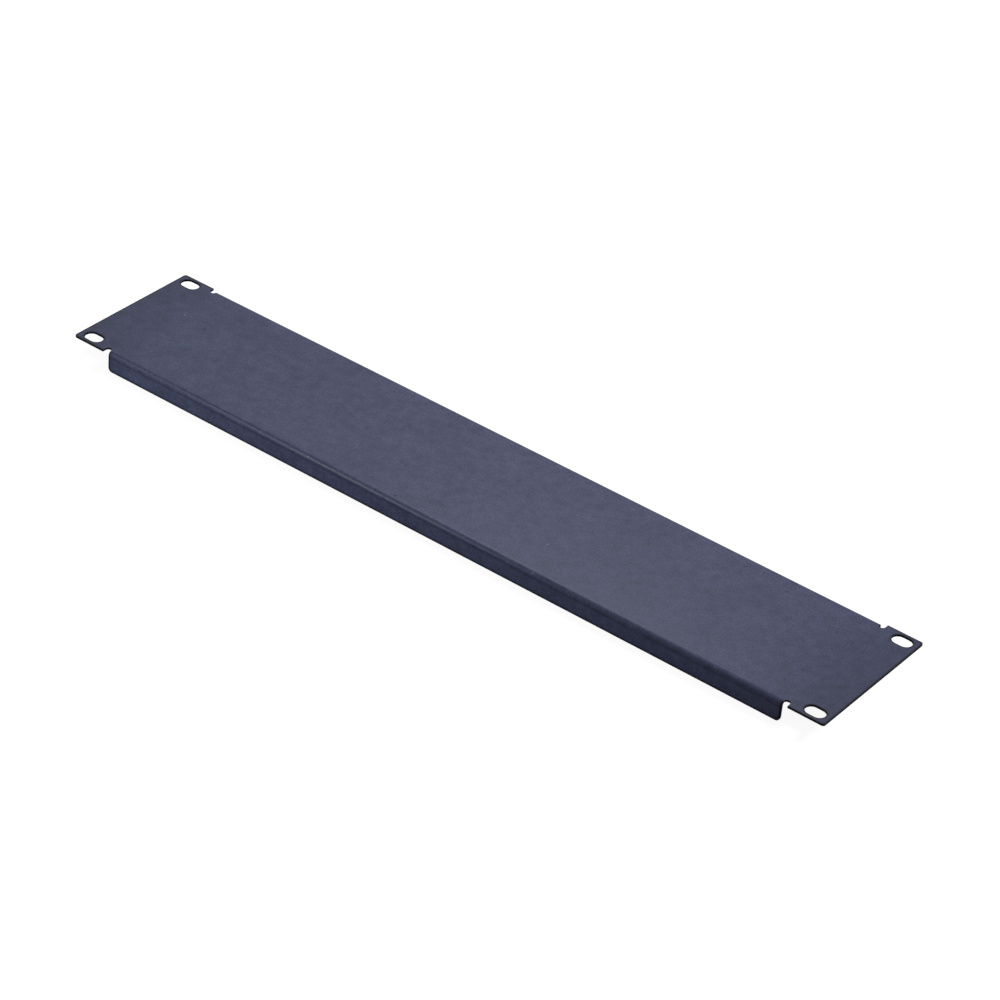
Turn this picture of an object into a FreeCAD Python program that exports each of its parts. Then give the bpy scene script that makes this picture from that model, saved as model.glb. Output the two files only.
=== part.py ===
"""19 inch, 2U rack blanking panel: one sheet of steel, cut, punched and folded.

The panel lies front face up on the free edges of its two flanges.  X runs along
its length, Y up the rack and Z out of the front face.  The origin is in the
middle of the footprint, on the plane that the flange edges stand on.
"""
import FreeCAD
import Part
import math
import os
from types import SimpleNamespace

import Sketcher
from FreeCAD import Vector

NODE = "folded_panel"

# Driving dimensions, in millimetres.  Each can be changed by itself.
SIZES = {
    "panel_width": 482.6,         # over both ears
    "panel_height": 88.1,         # over the long edges of an ear
    "panel_depth": 12.0,          # front face to the free edge of a flange
    "sheet_thickness": 1.2,
    "bend_inner_radius": 1.2,
    "flange_setback": 0.6,        # long edge of an ear to the outer face of a flange
    "ear_length": 20.8,           # end of the panel to the bend reliefs
    "ear_corner_radius": 1.5,
    "flange_corner_radius": 2.5,
    "relief_width": 3.5,          # along the fold; the inner end is full round
    "relief_overrun": 1.1,        # how far a relief runs in past the bend line
    "slot_length": 11.2,
    "slot_width": 7.8,
    "slot_end_inset": 8.75,       # slot centre to the end of the panel
    "slot_edge_inset": 5.95,      # slot centre to the long edge of the ear
}

# Ends of a sketched line or arc, and the sketch's own axes and origin.
START = 1
END = 2
CENTRE = 3
ACROSS_AXIS = -1
UP_AXIS = -2
ROOT = (-1, 1)

QUARTER = math.pi / 2
TOLERANCE = 1e-4


def write_sheet(doc):
    """Put every driving dimension in a cell of the sheet, under its own alias."""
    sheet = doc.addObject("Spreadsheet::Sheet", "sizes")
    for row, (alias, value) in enumerate(SIZES.items(), start=1):
        sheet.set(f"A{row}", alias)
        sheet.set(f"B{row}", str(value))
        sheet.setAlias(f"B{row}", alias)
    doc.recompute()


def origin_plane(body, role):
    """The body's own origin plane of that role."""
    return next(item for item in body.Origin.OriginFeatures if item.Role == role)


def add_sketch(body, name, role, height=None):
    """Start a sketch on an origin plane, or at a height above it."""
    sketch = body.newObject("Sketcher::SketchObject", name)
    sketch.AttachmentSupport = [(origin_plane(body, role), "")]
    sketch.MapMode = "FlatFace"
    if height:
        sketch.setExpression("AttachmentOffset.Base.z", height)
    return sketch


def line(x0, y0, x1, y1):
    """A straight piece of an outline."""
    return Part.LineSegment(Vector(x0, y0, 0), Vector(x1, y1, 0))


def arc(x, y, radius, first, last):
    """A round piece of an outline, anticlockwise from one angle to another."""
    circle = Part.Circle(Vector(x, y, 0), Vector(0, 0, 1), radius)
    return Part.ArcOfCircle(circle, first, last)


def draw_loop(sketch, pieces):
    """Draw a closed outline and tie each piece to the next one.

    A piece is (curve, end it starts from, end it leaves by, smooth), where
    smooth says that it runs into the next piece without a corner.
    """
    ids = [sketch.addGeometry(piece[0], False) for piece in pieces]
    for index, (_, _, leave, smooth) in enumerate(pieces):
        following = (index + 1) % len(pieces)
        kind = "Tangent" if smooth else "Coincident"
        enter = pieces[following][1]
        sketch.addConstraint(
            Sketcher.Constraint(kind, ids[index], leave, ids[following], enter)
        )
    return ids


def hold(sketch, kind, *where):
    """Add a geometric constraint."""
    sketch.addConstraint(Sketcher.Constraint(kind, *where))


def as_drawn(sketch, kind, where):
    """The value of a dimension in the outline as it was drawn."""
    if kind == "Radius":
        return sketch.Geometry[where[0]].Radius
    first = sketch.getPoint(where[0], where[1])
    last = sketch.getPoint(where[2], where[3])
    return last.x - first.x if kind == "DistanceX" else last.y - first.y


def size(sketch, name, expression, kind, *where):
    """Add a named dimension that follows the sheet."""
    value = as_drawn(sketch, kind, where)
    index = sketch.addConstraint(Sketcher.Constraint(kind, *where, value))
    sketch.renameConstraint(index, name)
    sketch.setExpression(f"Constraints.{name}", expression)


def sketch_fold_section(body, dims):
    """Section across the fold: the face, a bend and a flange along each long edge."""
    outer_radius = dims.bend_inner_radius + dims.sheet_thickness
    outer = dims.panel_height / 2 - dims.flange_setback
    inner = outer - dims.sheet_thickness
    bend = outer - outer_radius
    front = dims.panel_depth
    back = front - dims.sheet_thickness
    fold = front - outer_radius
    sketch = add_sketch(body, "fold_section", "YZ_Plane")
    (right_face, right_bend, front_face, left_bend, left_face, left_edge, left_inside,
     left_inner_bend, _, right_inner_bend, right_inside, right_edge) = draw_loop(sketch, [
        (line(outer, 0, outer, fold), START, END, True),
        (arc(bend, fold, outer_radius, 0, QUARTER), START, END, True),
        (line(bend, front, -bend, front), START, END, True),
        (arc(-bend, fold, outer_radius, QUARTER, 2 * QUARTER), START, END, True),
        (line(-outer, fold, -outer, 0), START, END, False),
        (line(-outer, 0, -inner, 0), START, END, False),
        (line(-inner, 0, -inner, fold), START, END, True),
        (arc(-bend, fold, dims.bend_inner_radius, QUARTER, 2 * QUARTER), END, START, True),
        (line(-bend, back, bend, back), START, END, True),
        (arc(bend, fold, dims.bend_inner_radius, 0, QUARTER), END, START, True),
        (line(inner, fold, inner, 0), START, END, False),
        (line(inner, 0, outer, 0), START, END, False),
    ])
    for upright in (right_face, left_face, left_inside, right_inside):
        hold(sketch, "Vertical", upright)
    for edge in (left_edge, right_edge):
        hold(sketch, "Horizontal", edge)
        hold(sketch, "PointOnObject", edge, START, ACROSS_AXIS)
    hold(sketch, "Symmetric", front_face, START, front_face, END, UP_AXIS)
    hold(sketch, "Coincident", right_bend, CENTRE, right_inner_bend, CENTRE)
    hold(sketch, "Coincident", left_bend, CENTRE, left_inner_bend, CENTRE)
    hold(sketch, "Equal", right_bend, left_bend)
    hold(sketch, "Equal", right_inner_bend, left_inner_bend)
    size(sketch, "outer_face", "sizes.panel_height / 2 - sizes.flange_setback",
         "DistanceX", *ROOT, right_face, START)
    size(sketch, "depth", "sizes.panel_depth", "DistanceY", *ROOT, front_face, START)
    size(sketch, "thickness", "sizes.sheet_thickness",
         "DistanceX", right_edge, START, right_edge, END)
    size(sketch, "inner_radius", "sizes.bend_inner_radius", "Radius", right_inner_bend)
    return sketch


def sketch_ear(body, dims):
    """Outline of one ear, from the middle of its bend reliefs to the end of the panel."""
    end = dims.panel_width / 2
    root = end - dims.ear_length - dims.relief_width / 2
    edge = dims.panel_height / 2
    sketch = add_sketch(body, "ear_outline", "XY_Plane",
                        "sizes.panel_depth - sizes.sheet_thickness")
    near_side, end_side, far_side, root_side = draw_loop(sketch, [
        (line(root, -edge, end, -edge), START, END, False),
        (line(end, -edge, end, edge), START, END, False),
        (line(end, edge, root, edge), START, END, False),
        (line(root, edge, root, -edge), START, END, False),
    ])
    hold(sketch, "Horizontal", near_side)
    hold(sketch, "Horizontal", far_side)
    hold(sketch, "Vertical", root_side)
    hold(sketch, "Symmetric", end_side, START, end_side, END, ACROSS_AXIS)
    size(sketch, "end", "sizes.panel_width / 2", "DistanceX", *ROOT, end_side, START)
    size(sketch, "length", "sizes.ear_length + sizes.relief_width / 2",
         "DistanceX", near_side, START, near_side, END)
    size(sketch, "height", "sizes.panel_height", "DistanceY", end_side, START, end_side, END)
    return sketch


def sketch_relief(body, dims):
    """Outline of one bend relief: a U, open past the long edge of the ear."""
    radius = dims.relief_width / 2
    ear_side = dims.panel_width / 2 - dims.ear_length
    flange_side = ear_side - dims.relief_width
    bend_radius = dims.bend_inner_radius + dims.sheet_thickness
    bend_line = dims.panel_height / 2 - dims.flange_setback - bend_radius
    centre = bend_line - dims.relief_overrun + radius
    mouth = dims.panel_height / 2 + dims.relief_width
    sketch = add_sketch(body, "relief_outline", "XY_Plane", "sizes.panel_depth")
    ear_wall, across, flange_wall, inner_end = draw_loop(sketch, [
        (line(ear_side, centre, ear_side, mouth), START, END, False),
        (line(ear_side, mouth, flange_side, mouth), START, END, False),
        (line(flange_side, mouth, flange_side, centre), START, END, True),
        (arc(ear_side - radius, centre, radius, 2 * QUARTER, 4 * QUARTER), START, END, True),
    ])
    hold(sketch, "Vertical", ear_wall)
    hold(sketch, "Vertical", flange_wall)
    hold(sketch, "Horizontal", across)
    size(sketch, "ear_side", "sizes.panel_width / 2 - sizes.ear_length",
         "DistanceX", *ROOT, ear_wall, START)
    size(sketch, "width", "sizes.relief_width", "DistanceX", across, END, across, START)
    size(sketch, "inner_end",
         "sizes.panel_height / 2 - sizes.flange_setback - sizes.bend_inner_radius"
         " - sizes.sheet_thickness - sizes.relief_overrun + sizes.relief_width / 2",
         "DistanceY", *ROOT, inner_end, CENTRE)
    size(sketch, "mouth", "sizes.panel_height / 2 + sizes.relief_width",
         "DistanceY", *ROOT, across, START)
    return sketch


def sketch_slot(body, dims):
    """Outline of one rack slot: an obround that lies along the panel."""
    radius = dims.slot_width / 2
    reach = dims.slot_length / 2 - radius
    x = dims.panel_width / 2 - dims.slot_end_inset
    y = dims.panel_height / 2 - dims.slot_edge_inset
    sketch = add_sketch(body, "slot_outline", "XY_Plane", "sizes.panel_depth")
    _, inner_end, long_side, outer_end = draw_loop(sketch, [
        (line(x + reach, y + radius, x - reach, y + radius), START, END, True),
        (arc(x - reach, y, radius, QUARTER, 3 * QUARTER), START, END, True),
        (line(x - reach, y - radius, x + reach, y - radius), START, END, True),
        (arc(x + reach, y, radius, -QUARTER, QUARTER), START, END, True),
    ])
    hold(sketch, "Horizontal", long_side)
    hold(sketch, "Equal", inner_end, outer_end)
    size(sketch, "radius", "sizes.slot_width / 2", "Radius", outer_end)
    size(sketch, "between_centres", "sizes.slot_length - sizes.slot_width",
         "DistanceX", inner_end, CENTRE, outer_end, CENTRE)
    size(sketch, "outer_centre",
         "sizes.panel_width / 2 - sizes.slot_end_inset"
         " + (sizes.slot_length - sizes.slot_width) / 2",
         "DistanceX", *ROOT, outer_end, CENTRE)
    size(sketch, "row", "sizes.panel_height / 2 - sizes.slot_edge_inset",
         "DistanceY", *ROOT, outer_end, CENTRE)
    return sketch


def add_pad(body, name, profile, length, side_type):
    """Thicken a sketch by a length from the sheet."""
    pad = body.newObject("PartDesign::Pad", name)
    pad.Profile = profile
    pad.SideType = side_type
    pad.setExpression("Length", length)
    return pad


def add_cut(body, name, profile):
    """Cut a sketch on the front face down through everything."""
    pocket = body.newObject("PartDesign::Pocket", name)
    pocket.Profile = profile
    pocket.Type = "ThroughAll"
    return pocket


def mirror_of(body, name, role):
    """A reflection in one of the body's origin planes."""
    mirror = body.newObject("PartDesign::Mirrored", name)
    mirror.MirrorPlane = (origin_plane(body, role), [""])
    return mirror


def same(first, second):
    """Whether two lengths agree."""
    return abs(first - second) < TOLERANCE


def round_edges(body, name, chosen, radius):
    """Round the edges of the body's last feature that a rule picks out."""
    base = body.Tip
    names = [
        f"Edge{number}"
        for number, edge in enumerate(base.Shape.Edges, start=1)
        if chosen(edge)
    ]
    fillet = body.newObject("PartDesign::Fillet", name)
    fillet.Base = (base, names)
    fillet.setExpression("Radius", radius)
    body.Tip = fillet
    return fillet


def is_ear_corner(edge, dims):
    """Whether an edge runs through the sheet at a corner of an ear."""
    first, last = edge.Vertexes[0].Point, edge.Vertexes[-1].Point
    return (
        same(abs(first.x), dims.panel_width / 2)
        and same(abs(first.y), dims.panel_height / 2)
        and same(first.x, last.x)
        and same(first.y, last.y)
    )


def is_flange_corner(edge, dims):
    """Whether an edge runs through a flange at a free corner."""
    first, last = edge.Vertexes[0].Point, edge.Vertexes[-1].Point
    flange_end = dims.panel_width / 2 - dims.ear_length - dims.relief_width
    return (
        same(abs(first.x), flange_end)
        and same(first.x, last.x)
        and same(first.z, 0)
        and same(last.z, 0)
    )


def build_panel(doc, dims):
    """Fold the sheet, add its ears, cut its reliefs and slots and round its corners."""
    body = doc.addObject("PartDesign::Body", NODE)
    body.Label = NODE
    add_pad(body, "face_and_flanges", sketch_fold_section(body, dims),
            "sizes.panel_width - 2 * sizes.ear_length - sizes.relief_width", "Symmetric")
    ear = add_pad(body, "ear", sketch_ear(body, dims), "sizes.sheet_thickness", "One side")
    both_ears = mirror_of(body, "both_ears", "YZ_Plane")
    both_ears.Originals = [ear]
    body.Tip = both_ears
    doc.recompute()
    blank_volume = body.Shape.Volume

    relief = add_cut(body, "relief", sketch_relief(body, dims))
    doc.recompute()
    relieved_volume = body.Shape.Volume
    slot = add_cut(body, "slot", sketch_slot(body, dims))
    doc.recompute()
    slotted_volume = body.Shape.Volume
    if not blank_volume > relieved_volume > slotted_volume:
        raise RuntimeError("a relief or a slot cuts nothing")

    corners = body.newObject("PartDesign::MultiTransform", "four_corners")
    corners.Originals = [relief, slot]
    corners.Transformations = [
        mirror_of(body, "end_to_end", "YZ_Plane"),
        mirror_of(body, "edge_to_edge", "XZ_Plane"),
    ]
    body.Tip = corners
    doc.recompute()
    if not same(blank_volume - body.Shape.Volume, 4 * (blank_volume - slotted_volume)):
        raise RuntimeError("the four corners aren't cut alike")

    round_edges(body, "ear_corners", lambda edge: is_ear_corner(edge, dims),
                "sizes.ear_corner_radius")
    doc.recompute()
    round_edges(body, "flange_corners", lambda edge: is_flange_corner(edge, dims),
                "sizes.flange_corner_radius")
    body.Placement = FreeCAD.Placement()
    doc.recompute()
    return body


def check(doc, parts):
    """Stop if any feature failed or any sub-part isn't one valid solid."""
    for item in doc.Objects:
        if "Invalid" in item.State or "Error" in item.State:
            raise RuntimeError(f"{item.Name} failed: {item.State}")
    for part in parts:
        if part.Shape.isNull() or not part.Shape.isValid() or len(part.Shape.Solids) != 1:
            raise RuntimeError(f"{part.Label} isn't one valid solid")


def main():
    """Build the panel and write it as a STEP file."""
    doc = FreeCAD.newDocument("rack_blanking_panel")
    write_sheet(doc)
    parts = [build_panel(doc, SimpleNamespace(**SIZES))]
    check(doc, parts)
    os.makedirs("parts", exist_ok=True)
    for part in parts:
        part.Shape.exportStep(f"parts/{part.Label}.step")
        print(f"{part.Label}: {part.Shape.Volume:.1f} mm3, {part.Shape.BoundBox}")


main()
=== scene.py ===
"""Looks of a 19 inch, 2U rack blanking panel: one folded steel sheet in satin powder coat.

Everything is in metres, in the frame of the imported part: X along the panel, Y up the
rack, Z out of the front face, and the free edges of the two flanges on Z = 0.
"""
import math

import bmesh
import bpy
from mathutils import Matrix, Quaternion, Vector


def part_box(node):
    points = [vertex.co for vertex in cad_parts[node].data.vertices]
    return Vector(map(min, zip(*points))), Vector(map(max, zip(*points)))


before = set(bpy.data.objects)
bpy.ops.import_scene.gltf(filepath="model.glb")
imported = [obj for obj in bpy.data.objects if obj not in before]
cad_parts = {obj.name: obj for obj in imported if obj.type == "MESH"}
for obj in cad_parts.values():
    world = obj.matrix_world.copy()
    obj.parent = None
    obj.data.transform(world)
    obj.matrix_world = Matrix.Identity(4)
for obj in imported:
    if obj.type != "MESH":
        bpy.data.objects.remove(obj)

NODE = "folded_panel"
MM = 0.001

# The sheet, as the part has it.
SLOT_X = 232.55 * MM                 # middle of a slot, from the middle of the panel
SLOT_Y = 38.1 * MM
SLOT_LENGTH = 11.2 * MM
SLOT_WIDTH = 7.8 * MM
EAR_CORNER = 1.5 * MM
FLANGE_CORNER = 2.5 * MM

# The coat rounds every cut edge a little.
EDGE_RADIUS = 0.22 * MM
EDGE_SEGMENTS = 3
EDGE_ANGLE = math.radians(50)        # sharper than this is a cut edge, softer is a bend
WELD_DISTANCE = 0.001 * MM

# In a rim along the cut edges the coat is duller, and painted shade darkens its colour there; this
# wide on the face and the flanges.
FACE_RIM = 1.4 * MM
FLANGE_RIM = 2.0 * MM
# Painted shade: the fraction of the colour left at the cut edge itself.
RIM_PAINTED_SHADE = 0.12                     # what is left of the colour at the edge itself
RIM_ROUGHNESS = 0.15                 # what the edge adds to the roughness
CORNER_BLEND = 1.76                  # smooth minimum over this many radii follows a round corner
LEVEL = 0.9                          # a surface whose normal is more upright than this is flat

# Painted shade in a faint line along the foot of each bend, and in one along its top that dies away
# towards +X.
FOOT_SHADE_LINE = {"middle": 8.8 * MM, "half_width": 1.2 * MM}
TOP_SHADE_LINE = {"middle": 11.68 * MM, "half_width": 0.3 * MM}
TOP_SHADE_WHOLE = -130 * MM
TOP_SHADE_GONE = -30 * MM
FOLD_PAINTED_SHADE = 0.72

# Painted shade: the colour darkens a little over the ears, towards the ends of the panel.
EAR_PAINTED_SHADE_START = 200 * MM
EAR_PAINTED_SHADE_END = 241 * MM
EAR_PAINTED_SHADE = 0.75

COAT_COLOUR = (0.0460, 0.0519, 0.0955)
COAT_ROUGHNESS = 0.33
COAT_ROUGHNESS_SPREAD = 0.03
COAT_SPECULAR = 0.092

# Uneven colour of the coat: size of the feature, and how much darker or lighter it goes.
CLOUD = (20 * MM, 0.08)
MOTTLE = (5.5 * MM, 0.14)
GRAIN = (1.1 * MM, 0.25)
SHADE_NOISE = (0.25, 0.75)           # noise that far from its middle gives the whole spread
GLOSS_NOISE = (0.3, 0.7)

# Orange peel, as a bump.
PEEL_SIZE = 1.3 * MM
PEEL_HEIGHT = 0.02 * MM
PEEL_STRENGTH = 0.25

# Small marks in the coat: x, y, z and radius, in millimetres.
PALE_NICKS = (
    (-213.4, 12.6, 12.0, 1.0),
    (58.5, -19.2, 12.0, 0.9),
    (-78.0, -42.9, 11.0, 0.8),
    (67.5, -42.8, 11.2, 1.1),
)
DARK_PITS = (
    (-196.3, 9.5, 12.0, 1.0),
    (-23.0, -39.9, 12.0, 1.3),
    (210.0, -15.2, 12.0, 0.9),
    (168.8, 32.0, 12.0, 0.9),
    (-27.6, -43.3, 10.5, 1.0),
)
NICK_PALENESS = (0.072, 0.072, 0.078)    # what a nick adds to the colour of the coat
PIT_SHADE = 0.2                          # what is left of the colour in a pit

# Camera: the point it looks at on the front face, from which side, and how far off.
AIM_X = 17.6 * MM
AIM_Y = -5.4 * MM
CAMERA_AZIMUTH = math.radians(34.86)
CAMERA_ELEVATION = math.radians(34.58)
CAMERA_ROLL = math.radians(5.49)
CAMERA_DISTANCE = 1.785
CAMERA_LENS = 126.85
SENSOR_WIDTH = 36.0

# Studio: white paper under the panel, a pale surround and four soft lamps.
WHITE = (1.0, 1.0, 1.0, 1.0)
FLOOR_SIZE = 6.0
FLOOR_GAP = 0.05 * MM                # keeps the floor off the flange edges
PAPER_COLOUR = (0.14, 0.14, 0.14, 1.0)
PAPER_GLOW = 0.93
GLOW_NEAR = 0.4                      # the paper turns plain white between these distances
GLOW_FAR = 1.2
WORLD_LIGHT = 0.06
SOFTBOXES = (
    {"name": "back_light", "azimuth": 123, "elevation": 38, "distance": 1.04,
     "size": (0.28, 0.23), "watts": 7.3},
    {"name": "top_light", "azimuth": -142, "elevation": 58.5, "distance": 0.76,
     "size": (0.4, 0.4), "watts": 4.0},
    {"name": "front_light", "azimuth": -45, "elevation": 19, "distance": 1.26,
     "size": (0.3, 0.3), "watts": 3.5},
    {"name": "low_strip", "azimuth": -31, "elevation": 5.0, "distance": 0.6,
     "size": (0.23, 0.086), "watts": 1.8},
)


def bearing(azimuth, elevation):
    """Unit vector from the panel towards something seen at that azimuth and elevation."""
    flat = math.cos(elevation)
    return Vector((
        math.sin(azimuth) * flat,
        -math.cos(azimuth) * flat,
        math.sin(elevation),
    ))


# ---------------------------------------------------------------- shader helpers

def add_node(tree, kind, inputs=None, **settings):
    """A shader node with its settings made and its inputs set or linked."""
    node = tree.nodes.new(kind)
    for name, value in settings.items():
        setattr(node, name, value)
    for name, value in (inputs or {}).items():
        socket = node.inputs[name]
        if isinstance(value, bpy.types.NodeSocket):
            tree.links.new(value, socket)
        else:
            socket.default_value = value
    return node


def maths(tree, operation, first, second=0.0, third=0.0):
    """The result of one Math node."""
    node = add_node(tree, "ShaderNodeMath", {0: first, 1: second, 2: third}, operation=operation)
    return node.outputs["Value"]


def remap(tree, value, low, high, to_low, to_high, smooth=False):
    """value between low and high, mapped to to_low .. to_high and held there beyond."""
    node = add_node(tree, "ShaderNodeMapRange", {
        "Value": value,
        "From Min": low,
        "From Max": high,
        "To Min": to_low,
        "To Max": to_high,
    })
    node.interpolation_type = "SMOOTHSTEP" if smooth else "LINEAR"
    return node.outputs["Result"]


def noise(tree, place, feature, detail=2.0):
    """Noise whose features are about that many metres across."""
    node = add_node(tree, "ShaderNodeTexNoise", {
        "Vector": place,
        "Scale": 1.0 / feature,
        "Detail": detail,
    })
    return node.outputs["Fac"]


def uneven(tree, place, feature, spread):
    """A factor round 1 that wanders up and down by spread."""
    return remap(tree, noise(tree, place, feature), *SHADE_NOISE, 1.0 - spread, 1.0 + spread)


def split(tree, vector):
    """The X, Y and Z outputs of a vector."""
    return add_node(tree, "ShaderNodeSeparateXYZ", {"Vector": vector}).outputs


def new_group(name, inputs, outputs):
    """An empty node group with those sockets; gives it, its inlet and its outlet."""
    group = bpy.data.node_groups.new(name, "ShaderNodeTree")
    for socket, kind in inputs:
        group.interface.new_socket(socket, in_out="INPUT", socket_type=kind)
    for socket, kind in outputs:
        group.interface.new_socket(socket, in_out="OUTPUT", socket_type=kind)
    inlet = group.nodes.new("NodeGroupInput")
    outlet = group.nodes.new("NodeGroupOutput")
    return group, inlet, outlet


# ---------------------------------------------------------------- the coat

def spot_group():
    """A soft round spot on the surface: 1 at its centre, 0 outside its radius."""
    group, inlet, outlet = new_group(
        "coat spot",
        (("Centre", "NodeSocketVector"), ("Radius", "NodeSocketFloat")),
        (("Mask", "NodeSocketFloat"),),
    )
    place = add_node(group, "ShaderNodeTexCoord").outputs["Object"]
    gap = add_node(
        group, "ShaderNodeVectorMath", {0: place, 1: inlet.outputs["Centre"]}, operation="DISTANCE")
    mask = remap(group, gap.outputs["Value"], inlet.outputs["Radius"], 0.0, 0.0, 1.0, smooth=True)
    group.links.new(mask, outlet.inputs["Mask"])
    return group


def spots(tree, group, places):
    """One mask for several spots, given as (x, y, z, radius) in millimetres."""
    total = 0.0
    for x, y, z, radius in places:
        spot = add_node(tree, "ShaderNodeGroup", node_tree=group)
        spot.inputs["Centre"].default_value = (x * MM, y * MM, z * MM)
        spot.inputs["Radius"].default_value = radius * MM
        total = maths(tree, "MAXIMUM", spot.outputs["Mask"], total)
    return total


def gap_to_slot(tree, away):
    """Distance from a point of the face to the edge of the nearest slot."""
    reach = (SLOT_LENGTH - SLOT_WIDTH) / 2
    off_middle = maths(tree, "ABSOLUTE", maths(tree, "SUBTRACT", away["X"], SLOT_X))
    along = maths(tree, "MAXIMUM", maths(tree, "SUBTRACT", off_middle, reach), 0.0)
    across = maths(tree, "SUBTRACT", away["Y"], SLOT_Y)
    flat = add_node(tree, "ShaderNodeCombineXYZ", {"X": along, "Y": across}).outputs["Vector"]
    far = add_node(tree, "ShaderNodeVectorMath", {0: flat}, operation="LENGTH").outputs["Value"]
    return maths(tree, "SUBTRACT", far, SLOT_WIDTH / 2)


def gap_to_corner(tree, first, second, radius):
    """Distance to the nearer of two edges that meet in a round corner."""
    return maths(tree, "SMOOTH_MIN", first, second, radius * CORNER_BLEND)


def rim_shade_and_dullness_mask(tree, place, flange_end):
    """1 on the cut edges of the sheet, falling to 0 a little way in from them: where painted shade
    darkens the colour and the coat is duller.
    """
    _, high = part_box(NODE)
    mirrored = add_node(tree, "ShaderNodeVectorMath", {0: place}, operation="ABSOLUTE")
    away = split(tree, mirrored.outputs["Vector"])
    facing = split(tree, add_node(tree, "ShaderNodeNewGeometry").outputs["Normal"])

    from_end = maths(tree, "SUBTRACT", high.x, away["X"])
    from_long_edge = maths(tree, "SUBTRACT", high.y, away["Y"])
    ear_gap = gap_to_corner(tree, from_end, from_long_edge, EAR_CORNER)
    face_gap = maths(tree, "MINIMUM", ear_gap, gap_to_slot(tree, away))
    face_rim = remap(tree, face_gap, 0.0, FACE_RIM, 1.0, 0.0, smooth=True)

    from_flange_end = maths(tree, "SUBTRACT", flange_end, away["X"])
    flange_gap = gap_to_corner(tree, away["Z"], from_flange_end, FLANGE_CORNER)
    flange_rim = remap(tree, flange_gap, 0.0, FLANGE_RIM, 1.0, 0.0, smooth=True)

    flat = maths(tree, "GREATER_THAN", maths(tree, "ABSOLUTE", facing["Z"]), LEVEL)
    high_up = maths(tree, "GREATER_THAN", away["Z"], high.z / 2)
    on_face = maths(tree, "MULTIPLY", flat, high_up)
    rim = add_node(tree, "ShaderNodeMix", {"Factor": on_face, "A": flange_rim, "B": face_rim})
    return rim.outputs["Result"]


def painted_fold_shade_line(tree, height, middle, half_width):
    """1 on a line of painted shade that runs along the bends at that height, 0 away from it."""
    off = maths(tree, "ABSOLUTE", maths(tree, "SUBTRACT", height, middle))
    return remap(tree, off, 0.0, half_width, 1.0, 0.0, smooth=True)


def painted_fold_shade_mask(tree, place):
    """Both lines of painted shade along the bends."""
    at = split(tree, place)
    foot = painted_fold_shade_line(tree, at["Z"], **FOOT_SHADE_LINE)
    top = painted_fold_shade_line(tree, at["Z"], **TOP_SHADE_LINE)
    dying = remap(tree, at["X"], TOP_SHADE_WHOLE, TOP_SHADE_GONE, 1.0, 0.0)
    return maths(tree, "MAXIMUM", foot, maths(tree, "MULTIPLY", top, dying))


def painted_ear_shade(tree, place):
    """A factor of painted shade that goes from 1 down over the ears' ends."""
    off_middle = maths(tree, "ABSOLUTE", split(tree, place)["X"])
    return remap(tree, off_middle, EAR_PAINTED_SHADE_START, EAR_PAINTED_SHADE_END, 1.0, EAR_PAINTED_SHADE)


def coat_colour(tree, place, shade_and_dull_rims, nicks, pits):
    """Slate blue, mottled and grained, with painted shade over the ears, on the rims and along the
    bends, and its darker pits and pale nicks.
    """
    # Painted shade over the ears, then on the rims and along the bends; the pits are darker coat.
    shade = painted_ear_shade(tree, place)
    darker = (
        (shade_and_dull_rims, RIM_PAINTED_SHADE),
        (painted_fold_shade_mask(tree, place), FOLD_PAINTED_SHADE),
        (pits, PIT_SHADE),
    )
    for mask, left in darker:
        shade = maths(tree, "MULTIPLY", shade, remap(tree, mask, 0.0, 1.0, 1.0, left))
    for feature, spread in (CLOUD, MOTTLE, GRAIN):
        shade = maths(tree, "MULTIPLY", shade, uneven(tree, place, feature, spread))
    plain = add_node(tree, "ShaderNodeVectorMath", {0: COAT_COLOUR, "Scale": shade}, operation="SCALE")
    nicked = add_node(
        tree, "ShaderNodeVectorMath", {0: NICK_PALENESS, 1: nicks, 2: plain.outputs["Vector"]},
        operation="MULTIPLY_ADD")
    return nicked.outputs["Vector"]


def coat_roughness(tree, place, shade_and_dull_rims):
    """Roughness that wanders a little over the coat and rises at the rims."""
    wander = noise(tree, place, MOTTLE[0])
    low = COAT_ROUGHNESS - COAT_ROUGHNESS_SPREAD
    high = COAT_ROUGHNESS + COAT_ROUGHNESS_SPREAD
    satin = remap(tree, wander, *GLOSS_NOISE, low, high)
    return maths(tree, "MULTIPLY_ADD", shade_and_dull_rims, RIM_ROUGHNESS, satin)


def coat_normal(tree, place, pits):
    """Fine orange peel that dips at the pits."""
    peel = noise(tree, place, PEEL_SIZE, detail=1.0)
    bump = add_node(tree, "ShaderNodeBump", {
        "Strength": PEEL_STRENGTH,
        "Distance": PEEL_HEIGHT,
        "Height": maths(tree, "SUBTRACT", peel, pits),
    })
    return bump.outputs["Normal"]


def powder_coat(flange_end):
    """Satin powder coat for the whole panel, inside and out."""
    material = bpy.data.materials.new("satin_powder_coat")
    material.use_nodes = True
    tree = material.node_tree
    place = add_node(tree, "ShaderNodeTexCoord").outputs["Object"]

    spot = spot_group()
    nicks = spots(tree, spot, PALE_NICKS)
    pits = spots(tree, spot, DARK_PITS)
    shade_and_dull_rims = rim_shade_and_dullness_mask(tree, place, flange_end)

    shader = tree.nodes["Principled BSDF"].inputs
    tree.links.new(coat_colour(tree, place, shade_and_dull_rims, nicks, pits), shader["Base Color"])
    tree.links.new(coat_roughness(tree, place, shade_and_dull_rims), shader["Roughness"])
    tree.links.new(coat_normal(tree, place, pits), shader["Normal"])
    shader["Specular IOR Level"].default_value = COAT_SPECULAR
    return material


def flange_end_of(panel):
    """How far out from the middle the two flanges reach."""
    _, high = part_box(NODE)
    return max(abs(v.co.x) for v in panel.data.vertices if v.co.z < high.z / 2)


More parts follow.
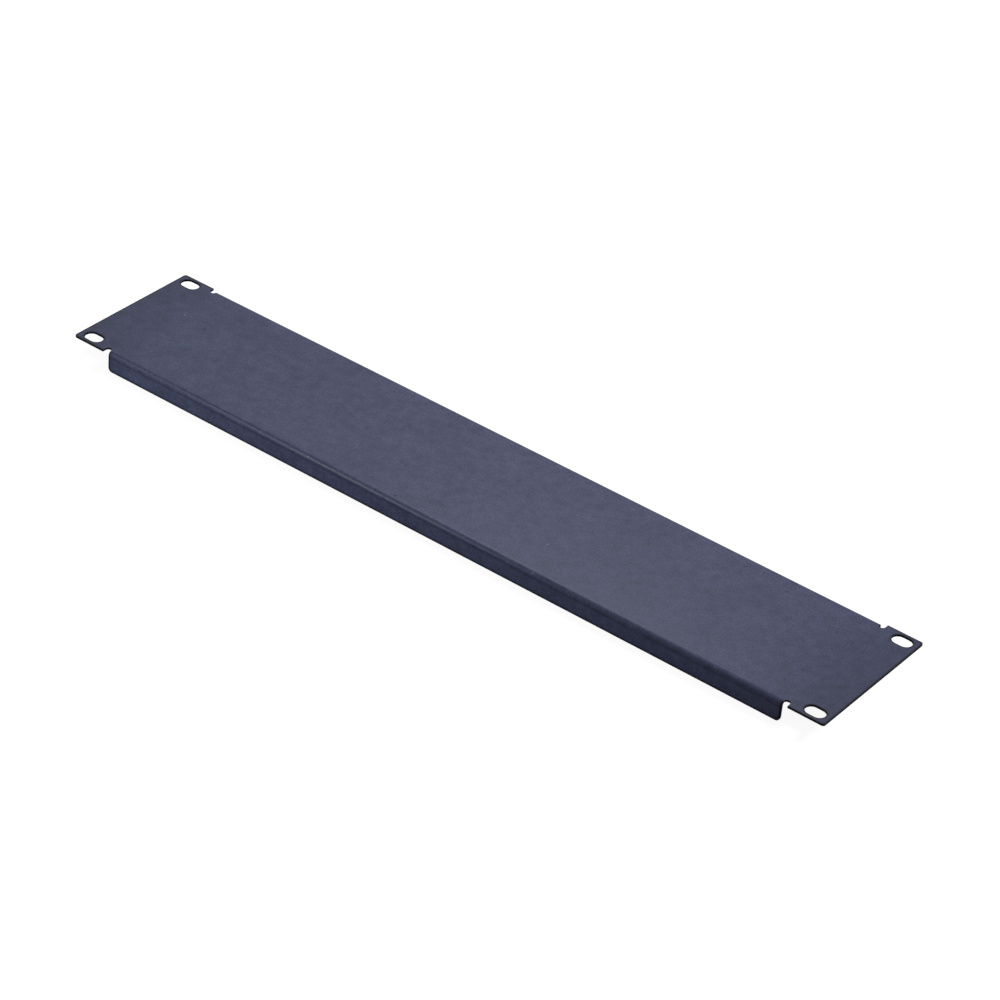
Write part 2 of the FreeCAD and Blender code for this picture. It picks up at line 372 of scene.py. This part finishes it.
def finish_panel():
    """Round the cut edges of the folded sheet as its coat does, and coat it."""
    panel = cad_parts[NODE]
    weld = panel.modifiers.new("joined faces", "WELD")
    weld.merge_threshold = WELD_DISTANCE
    soften = panel.modifiers.new("coated edges", "BEVEL")
    soften.width = EDGE_RADIUS
    soften.segments = EDGE_SEGMENTS
    soften.limit_method = "ANGLE"
    soften.angle_limit = EDGE_ANGLE
    soften.harden_normals = True
    panel.data.materials[0] = powder_coat(flange_end_of(panel))


# ---------------------------------------------------------------- studio

def seen_rays(tree):
    """1 for camera rays, and 1 for all rays that show the background: camera, gloss and glass."""
    path = add_node(tree, "ShaderNodeLightPath").outputs
    seen = maths(tree, "MAXIMUM", path["Is Camera Ray"], path["Is Glossy Ray"])
    return path["Is Camera Ray"], maths(tree, "MAXIMUM", seen, path["Is Transmission Ray"])


def floor_paper():
    """Pale paper with the panel's soft shadow, white away from it and clear from underneath."""
    material = bpy.data.materials.new("studio_paper")
    material.use_nodes = True
    tree = material.node_tree
    tree.nodes.clear()
    place = add_node(tree, "ShaderNodeTexCoord").outputs["Object"]
    reach = add_node(tree, "ShaderNodeVectorMath", {0: place}, operation="LENGTH").outputs["Value"]
    matt = add_node(tree, "ShaderNodeBsdfDiffuse", {"Color": PAPER_COLOUR})
    direct, seen = seen_rays(tree)
    near = maths(tree, "MULTIPLY", direct, PAPER_GLOW)
    whitening = remap(tree, reach, GLOW_NEAR, GLOW_FAR, 0.0, 1.0, smooth=True)
    glow = maths(tree, "MAXIMUM", near, maths(tree, "MULTIPLY", seen, whitening))
    lit = add_node(tree, "ShaderNodeEmission", {"Color": WHITE, "Strength": glow})
    both = add_node(tree, "ShaderNodeAddShader", {0: matt.outputs["BSDF"], 1: lit.outputs["Emission"]})
    under = add_node(tree, "ShaderNodeNewGeometry").outputs["Backfacing"]
    clear = add_node(tree, "ShaderNodeBsdfTransparent", {"Color": WHITE})
    paper = add_node(
        tree, "ShaderNodeMixShader", {0: under, 1: both.outputs["Shader"], 2: clear.outputs["BSDF"]})
    add_node(tree, "ShaderNodeOutputMaterial", {"Surface": paper.outputs["Shader"]})
    return material


def lay_floor():
    """A large flat sheet of paper under the panel."""
    mesh = bpy.data.meshes.new("studio_floor")
    bm = bmesh.new()
    bmesh.ops.create_grid(bm, x_segments=1, y_segments=1, size=FLOOR_SIZE / 2)
    bmesh.ops.translate(bm, verts=bm.verts, vec=(0.0, 0.0, -FLOOR_GAP))
    bm.to_mesh(mesh)
    bm.free()
    floor = bpy.data.objects.new("studio_floor", mesh)
    bpy.context.scene.collection.objects.link(floor)
    mesh.materials.append(floor_paper())


def light_world():
    """A plain surround: white where it is seen, dim as a light."""
    world = bpy.data.worlds.new("studio")
    bpy.context.scene.world = world
    world.use_nodes = True
    tree = world.node_tree
    background = tree.nodes["Background"]
    background.inputs["Color"].default_value = WHITE
    _, seen = seen_rays(tree)
    strength = remap(tree, seen, 0.0, 1.0, WORLD_LIGHT, 1.0)
    tree.links.new(strength, background.inputs["Strength"])


def add_softbox(name, azimuth, elevation, distance, size, watts):
    """A soft rectangular lamp that faces the middle of the panel; its angles are in degrees."""
    lamp = bpy.data.lights.new(name, "AREA")
    lamp.shape = "RECTANGLE"
    lamp.size, lamp.size_y = size
    lamp.energy = watts
    softbox = bpy.data.objects.new(name, lamp)
    towards = bearing(math.radians(azimuth), math.radians(elevation))
    softbox.location = towards * distance
    softbox.rotation_euler = towards.to_track_quat("Z", "Y").to_euler()
    softbox.visible_camera = False
    bpy.context.scene.collection.objects.link(softbox)


def add_camera():
    """A long lens that looks down on the panel from the right end of its near edge."""
    _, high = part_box(NODE)
    aim = Vector((AIM_X, AIM_Y, high.z))
    towards = bearing(CAMERA_AZIMUTH, CAMERA_ELEVATION)
    roll = Quaternion((0.0, 0.0, 1.0), CAMERA_ROLL)
    data = bpy.data.cameras.new("camera")
    data.lens = CAMERA_LENS
    data.sensor_width = SENSOR_WIDTH
    camera = bpy.data.objects.new("camera", data)
    camera.location = aim + towards * CAMERA_DISTANCE
    camera.rotation_euler = (towards.to_track_quat("Z", "Y") @ roll).to_euler()
    bpy.context.scene.collection.objects.link(camera)
    bpy.context.scene.camera = camera


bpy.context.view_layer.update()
add_camera()
finish_panel()
lay_floor()
light_world()
for softbox in SOFTBOXES:
    add_softbox(**softbox)
bpy.context.scene.view_settings.view_transform = "Standard"
